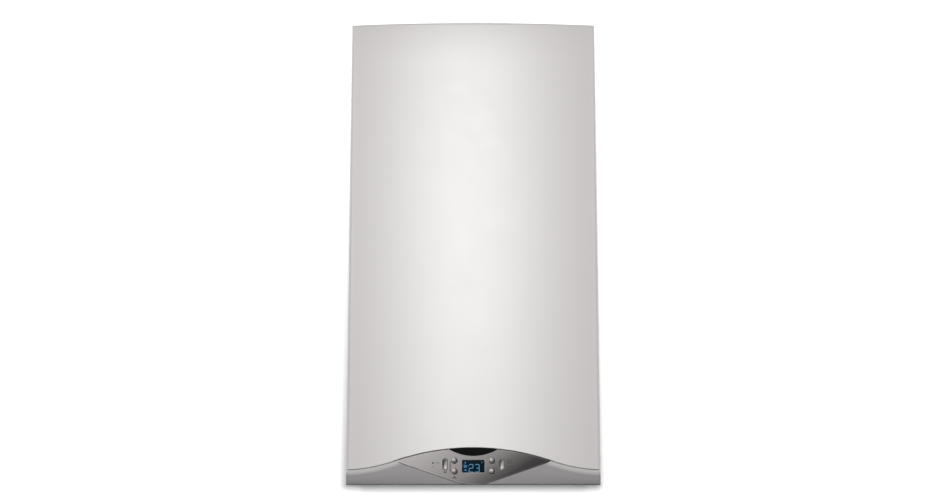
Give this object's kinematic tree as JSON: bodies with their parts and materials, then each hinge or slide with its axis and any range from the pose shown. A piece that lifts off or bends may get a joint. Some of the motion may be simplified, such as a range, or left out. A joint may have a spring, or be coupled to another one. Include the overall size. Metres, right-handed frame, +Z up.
{
  "type": "condensing boiler",
  "caption": "Wall-hung condensing boiler with a curved white front cover over a grey fascia and an eye-shaped silver control panel that swings down for service.",
  "frame": {"origin": "middle of the wall bracket's back face, on the wall", "axes": "+Z up, -Y out of the front, +X to the right seen from the front"},
  "size_m": [0.4436, 0.3869, 0.844],
  "materials": {
    "painted_casing": "satin",
    "zinc_steel": "satin",
    "silver_plastic": "metallic satin",
    "grey_plastic": "satin",
    "black_gloss": "gloss",
    "dark_plastic": "matte",
    "display_glass": "gloss",
    "brass": "machined",
    "copper": "drawn",
    "rubber": "matte",
    "red_paint": "gloss",
    "red_plastic": "gloss",
    "blue_plastic": "gloss",
    "board": "satin",
    "white_plastic": "satin",
    "cast_aluminium": "cast",
    "stainless": "bright"
  },
  "bodies": {
    "casing": {"front_cover": "painted_casing", "left_side_panel": "painted_casing", "right_side_panel": "painted_casing", "top_panel": "painted_casing", "bottom_plate": "zinc_steel", "rear_frame": "zinc_steel", "wall_bracket": "zinc_steel", "cover_screw_left": "zinc_steel", "cover_screw_right": "zinc_steel", "support_rail": "zinc_steel", "flue_collar": "cast_aluminium", "air_port_cover": "painted_casing", "flue_duct": "white_plastic", "heat_exchanger_shell": "white_plastic", "heat_exchanger_coil": "stainless", "burner": "stainless", "burner_door": "cast_aluminium", "door_gasket": "rubber", "ignition_electrode": "white_plastic", "mixing_manifold": "cast_aluminium", "fan_housing": "cast_aluminium", "fan_motor": "dark_plastic", "air_gas_mixer": "cast_aluminium", "air_silencer": "dark_plastic", "gas_valve": "cast_aluminium", "gas_pipe": "copper", "vessel_rear_shell": "red_paint", "vessel_front_shell": "red_paint", "vessel_diaphragm": "rubber", "vessel_pipe": "copper", "flow_group": "brass", "diverter_actuator": "dark_plastic", "flow_pipe": "copper", "return_group": "brass", "pump_housing": "cast_aluminium", "pump_motor": "dark_plastic", "air_vent": "dark_plastic", "return_pipe": "copper", "plate_heat_exchanger": "stainless", "condensate_trap": "white_plastic", "condensate_hose": "dark_plastic"},
    "fan_rotor": {"fan_impeller": "cast_aluminium"},
    "pump_rotor": {"pump_impeller": "stainless"},
    "diverter": {"diverter_spool": "brass"},
    "safety_knob": {"safety_valve_knob": "red_plastic"},
    "filling_tap": {"filling_handle": "blue_plastic"},
    "control_panel": {"fascia": "grey_plastic", "eye_panel": "silver_plastic", "badge_crescent": "black_gloss", "display_window": "display_glass", "display_board": "board", "control_box": "dark_plastic", "control_box_cover": "dark_plastic", "main_board": "board"},
    "key_upper_left": {"button_upper_left": "silver_plastic"},
    "key_lower_left": {"button_lower_left": "silver_plastic"},
    "key_upper_right": {"button_upper_right": "silver_plastic"},
    "key_lower_right": {"button_lower_right": "silver_plastic"},
    "key_rocker_left": {"rocker_left": "silver_plastic"},
    "key_rocker_right": {"rocker_right": "silver_plastic"}
  },
  "joints": [
    {"name": "control_panel_swing", "type": "hinge", "parent": "casing", "child": "control_panel", "pos_m": [0, -0.19, -0.73], "axis": [1, 0, 0], "range_deg": [0, 85]},
    {"name": "fan_spin", "type": "hinge", "parent": "casing", "child": "fan_rotor", "pos_m": [0.141, -0.218, -0.18], "axis": [0, 1, 0], "continuous": true},
    {"name": "pump_spin", "type": "hinge", "parent": "casing", "child": "pump_rotor", "pos_m": [0.13, -0.104, -0.56], "axis": [0, 1, 0], "continuous": true},
    {"name": "diverter_slide", "type": "slide", "parent": "casing", "child": "diverter", "axis": [0, 0, 1], "range_m": [0, 0.006]},
    {"name": "safety_knob_turn", "type": "hinge", "parent": "casing", "child": "safety_knob", "pos_m": [0.13, -0.1413, -0.659], "axis": [0, 1, 0], "range_deg": [0, 90]},
    {"name": "filling_tap_turn", "type": "hinge", "parent": "casing", "child": "filling_tap", "pos_m": [0.0975, -0.105, -0.728], "axis": [0, 0, 1], "range_deg": [0, 90]},
    {"name": "press_upper_left", "type": "slide", "parent": "control_panel", "child": "key_upper_left", "axis": [0, 1, 0], "range_m": [0, 0.001], "stiffness_N_per_m": 800},
    {"name": "press_lower_left", "type": "slide", "parent": "control_panel", "child": "key_lower_left", "axis": [0, 1, 0], "range_m": [0, 0.001], "stiffness_N_per_m": 800},
    {"name": "press_upper_right", "type": "slide", "parent": "control_panel", "child": "key_upper_right", "axis": [0, 1, 0], "range_m": [0, 0.001], "stiffness_N_per_m": 800},
    {"name": "press_lower_right", "type": "slide", "parent": "control_panel", "child": "key_lower_right", "axis": [0, 1, 0], "range_m": [0, 0.001], "stiffness_N_per_m": 800},
    {"name": "rock_left", "type": "hinge", "parent": "control_panel", "child": "key_rocker_left", "pos_m": [-0.0485, -0.37593, -0.7044], "axis": [1, 0, 0], "range_deg": [-3, 3], "stiffness_Nm_per_rad": 0.5},
    {"name": "rock_right", "type": "hinge", "parent": "control_panel", "child": "key_rocker_right", "pos_m": [0.0485, -0.37593, -0.7044], "axis": [1, 0, 0], "range_deg": [-3, 3], "stiffness_Nm_per_rad": 0.5}
  ]
}
